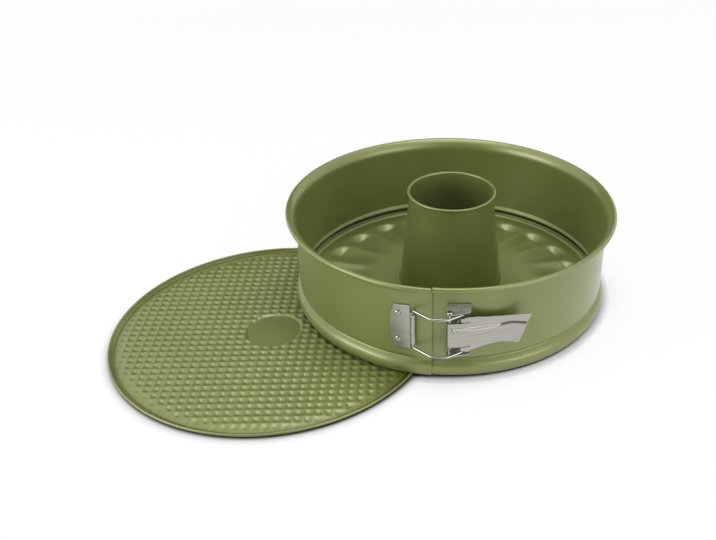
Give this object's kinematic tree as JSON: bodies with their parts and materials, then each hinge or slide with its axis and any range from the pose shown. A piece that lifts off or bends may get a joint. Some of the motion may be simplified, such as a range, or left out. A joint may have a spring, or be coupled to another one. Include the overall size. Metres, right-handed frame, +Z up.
{
  "type": "springform ring-cake mould",
  "caption": "Round springform mould in green coated steel: a sprung band closed by a lever clasp, a scalloped base with a chimney for ring cakes, and a spare flat base.",
  "frame": {"origin": "on the table, under the middle of the whole set's box", "axes": "+Z up, -Y out of the side with the clasp, +X to the right of someone facing the clasp"},
  "size_m": [0.408, 0.3546, 0.0952],
  "materials": {
    "coated_steel": "satin",
    "plated_steel": "brushed"
  },
  "bodies": {
    "ring_base": {"tube_base": "coated_steel", "chimney": "coated_steel"},
    "hoop": {"band": "coated_steel", "hinge_plate": "plated_steel", "hinge_rivet_upper": "plated_steel", "hinge_rivet_lower": "plated_steel", "lever_bracket": "plated_steel", "pivot_pin": "plated_steel", "bracket_rivet_upper": "plated_steel", "bracket_rivet_lower": "plated_steel"},
    "clasp_lever": {"lever": "plated_steel"},
    "clasp_bail": {"wire_bail": "plated_steel"},
    "spare_base": {"flat_base": "coated_steel"}
  },
  "joints": [
    {"name": "band_lift", "type": "slide", "parent": "ring_base", "child": "hoop", "axis": [0.0172, 0.0105, 0.9998], "range_m": [0, 0.11]},
    {"name": "lever_open", "type": "hinge", "parent": "hoop", "child": "clasp_lever", "pos_m": [0.07861, -0.09895, 0.04537], "axis": [-0.0172, -0.0105, -0.9998], "range_deg": [0, 110]},
    {"name": "bail_swing", "type": "hinge", "parent": "hoop", "child": "clasp_bail", "pos_m": [0.0507, -0.09548, 0.04581], "axis": [-0.0172, -0.0105, -0.9998], "range_deg": [0, 27]},
    {"name": "flat_base_slide", "type": "slide", "parent": "ring_base", "child": "spare_base", "axis": [-0.8525, -0.5227, 0], "range_m": [0, 0.12]}
  ],
  "couplings": [
    {"joint": "bail_swing", "follows": "lever_open", "ratio": 0.24}
  ]
}
